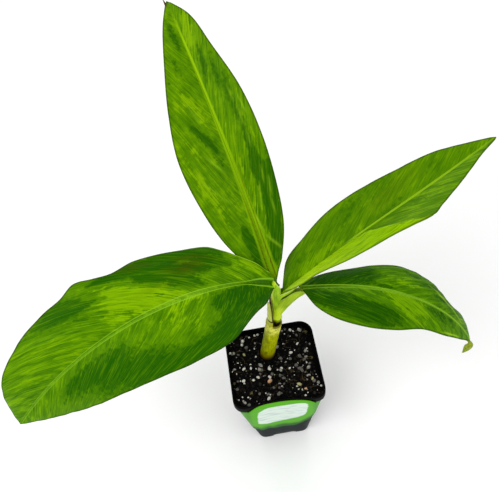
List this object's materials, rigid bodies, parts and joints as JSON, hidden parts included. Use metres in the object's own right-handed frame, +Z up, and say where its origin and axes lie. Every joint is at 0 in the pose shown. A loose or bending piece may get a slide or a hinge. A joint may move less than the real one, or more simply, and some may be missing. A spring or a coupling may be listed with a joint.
{
  "type": "young banana plant in a square nursery pot",
  "caption": "Young banana plant with a leaning two-part stem and broad arching leaves, in a small square tapered nursery pot filled with soil.",
  "frame": {"origin": "middle of the pot's flat underside", "axes": "+Z up, -Y towards the pot's labelled wall, +X to the right as that wall is faced"},
  "size_m": [0.257, 0.1578, 0.2539],
  "materials": {
    "pot": "satin bluish black moulded plastic",
    "label": "coated paper, plain green with a bare white patch",
    "soil": "dark damp potting mix with white perlite and bark",
    "stem": "satin yellow-green stem with fine lengthwise lines",
    "dry_sheath": "pale dry sheath with brown edges",
    "petiole": "satin fresh green",
    "leaf": "satin leaf with dark green streaks along its side veins"
  },
  "bodies": {
    "root": {"pot": "pot", "label": "label", "soil": "soil", "stem_lower": "stem", "stem_upper": "stem", "old_sheath": "dry_sheath", "petiole_lower_right": "petiole", "sheath_left": "petiole", "leaf_left": "leaf", "leaf_top": "leaf", "leaf_upper_right": "leaf", "leaf_lower_right": "leaf"}
  },
  "joints": []
}
